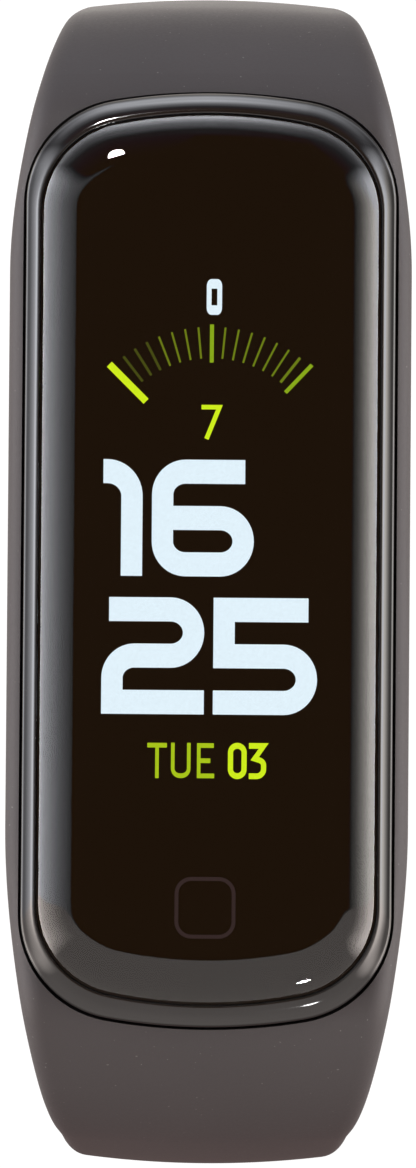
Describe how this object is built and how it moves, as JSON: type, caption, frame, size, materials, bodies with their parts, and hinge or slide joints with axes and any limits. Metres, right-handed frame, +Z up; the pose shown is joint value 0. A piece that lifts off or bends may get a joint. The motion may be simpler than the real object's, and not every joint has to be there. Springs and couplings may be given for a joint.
{
  "type": "fitness tracker band",
  "caption": "Slim wrist activity tracker with a tall curved-edge display, in a matte elastomer strap closed by a peg clasp.",
  "frame": {"origin": "middle of the closed loop's footprint, at the bottom of the clasp plate that it stands on", "axes": "+Z up out of the display, +Y towards the display's 12 o'clock end, X across the band"},
  "size_m": [0.0204, 0.0607, 0.051],
  "materials": {
    "strap_rubber": "matte soft-touch elastomer",
    "clasp_metal": "dark brushed steel",
    "cover_glass": "clear, polished",
    "black_ink": "opaque black print",
    "black_adhesive": "adhesive ring",
    "housing_gloss": "high gloss black",
    "rear_case": "fine satin black",
    "seal_rubber": "silicone seal",
    "contact_gold": "gold plate",
    "sensor_window": "dark tinted clear",
    "touch_film": "clear film",
    "display_panel": "lit display layer",
    "display_backing": "copper foil and foam",
    "flex_film": "amber film",
    "frame_plastic": "moulded",
    "battery_foil": "aluminium pouch",
    "foam_tape": "foam",
    "circuit_board": "solder mask",
    "motor_metal": "nickel plate",
    "weight_metal": "dense metal",
    "chip_plastic": "moulded package",
    "lamp_lens": "clear package"
  },
  "bodies": {
    "strap_cradle": {"strap_cradle": "strap_rubber"},
    "tracker": {"cover_glass": "cover_glass", "ink_border": "black_ink", "glass_gasket": "black_adhesive", "front_housing": "housing_gloss", "rear_case": "rear_case", "rear_seal": "seal_rubber", "charge_contacts": "contact_gold", "sensor_window": "sensor_window", "touch_sensor": "touch_film", "display_panel": "display_panel", "display_backing": "display_backing", "display_flex": "flex_film", "mid_frame": "frame_plastic", "battery_cell": "battery_foil", "battery_tape": "foam_tape", "battery_board": "circuit_board", "battery_lead": "flex_film", "motor_case": "motor_metal", "motor_shaft": "motor_metal", "main_board": "circuit_board", "processor_chip": "chip_plastic", "power_chip": "chip_plastic", "motion_chip": "chip_plastic", "antenna": "contact_gold", "sensor_board": "circuit_board", "sensor_flex": "flex_film", "light_baffle": "frame_plastic", "sensor_lamps": "lamp_lens", "light_sensor": "chip_plastic"},
    "motor_weight": {"motor_weight": "weight_metal"},
    "peg_strap_1": {"peg_strap_1": "strap_rubber"},
    "peg_strap_2": {"peg_strap_2": "strap_rubber"},
    "peg_strap_3": {"peg_strap_3": "strap_rubber"},
    "peg_strap_4": {"peg_strap_4": "strap_rubber"},
    "peg_strap_5": {"peg_strap_5": "strap_rubber", "clasp_plate": "clasp_metal", "clasp_peg": "clasp_metal"},
    "hole_strap_1": {"hole_strap_1": "strap_rubber"},
    "hole_strap_2": {"hole_strap_2": "strap_rubber"},
    "hole_strap_3": {"hole_strap_3": "strap_rubber"},
    "hole_strap_4": {"hole_strap_4": "strap_rubber"}
  },
  "joints": [
    {"name": "tracker_release", "type": "slide", "parent": "strap_cradle", "child": "tracker", "axis": [0, 0, 1], "range_m": [0, 0.013]},
    {"name": "motor_spin", "type": "hinge", "parent": "tracker", "child": "motor_weight", "pos_m": [-0.0037, -0.0172, 0.0447], "axis": [0, 0, 1], "continuous": true},
    {"name": "peg_strap_bend_1", "type": "hinge", "parent": "strap_cradle", "child": "peg_strap_1", "pos_m": [0, 0.02799, 0.04293], "axis": [1, 0, 0], "range_deg": [0, 6], "stiffness_Nm_per_rad": 0.03},
    {"name": "peg_strap_bend_2", "type": "hinge", "parent": "peg_strap_1", "child": "peg_strap_2", "pos_m": [0, 0.0299, 0.03163], "axis": [1, 0, 0], "range_deg": [0, 9.6], "stiffness_Nm_per_rad": 0.03},
    {"name": "peg_strap_bend_3", "type": "hinge", "parent": "peg_strap_2", "child": "peg_strap_3", "pos_m": [0, 0.02903, 0.01719], "axis": [1, 0, 0], "range_deg": [0, 16.8], "stiffness_Nm_per_rad": 0.03},
    {"name": "peg_strap_bend_4", "type": "hinge", "parent": "peg_strap_3", "child": "peg_strap_4", "pos_m": [0, 0.02341, 0.00572], "axis": [1, 0, 0], "range_deg": [0, 21.6], "stiffness_Nm_per_rad": 0.03},
    {"name": "peg_strap_bend_5", "type": "hinge", "parent": "peg_strap_4", "child": "peg_strap_5", "pos_m": [0, 0.01384, 0.00063], "axis": [1, 0, 0], "range_deg": [0, 24], "stiffness_Nm_per_rad": 0.03},
    {"name": "hole_strap_bend_1", "type": "hinge", "parent": "strap_cradle", "child": "hole_strap_1", "pos_m": [0, -0.02859, 0.04237], "axis": [-1, 0, 0], "range_deg": [0, 3.6], "stiffness_Nm_per_rad": 0.03},
    {"name": "hole_strap_bend_2", "type": "hinge", "parent": "hole_strap_1", "child": "hole_strap_2", "pos_m": [0, -0.03061, 0.0306], "axis": [-1, 0, 0], "range_deg": [0, 3.6], "stiffness_Nm_per_rad": 0.03},
    {"name": "hole_strap_bend_3", "type": "hinge", "parent": "hole_strap_2", "child": "hole_strap_3", "pos_m": [0, -0.02834, 0.01387], "axis": [-1, 0, 0], "range_deg": [0, 3.6], "stiffness_Nm_per_rad": 0.03},
    {"name": "hole_strap_bend_4", "type": "hinge", "parent": "hole_strap_3", "child": "hole_strap_4", "pos_m": [0, -0.01497, 0.00284], "axis": [-1, 0, 0], "range_deg": [0, 2.4], "stiffness_Nm_per_rad": 0.03}
  ],
  "couplings": [
    {"joint": "peg_strap_bend_2", "follows": "peg_strap_bend_1", "ratio": 1.6},
    {"joint": "peg_strap_bend_3", "follows": "peg_strap_bend_1", "ratio": 2.8},
    {"joint": "peg_strap_bend_4", "follows": "peg_strap_bend_1", "ratio": 3.6},
    {"joint": "peg_strap_bend_5", "follows": "peg_strap_bend_1", "ratio": 4},
    {"joint": "hole_strap_bend_1", "follows": "peg_strap_bend_1", "ratio": 0.6},
    {"joint": "hole_strap_bend_2", "follows": "peg_strap_bend_1", "ratio": 0.6},
    {"joint": "hole_strap_bend_3", "follows": "peg_strap_bend_1", "ratio": 0.6},
    {"joint": "hole_strap_bend_4", "follows": "peg_strap_bend_1", "ratio": 0.4}
  ]
}
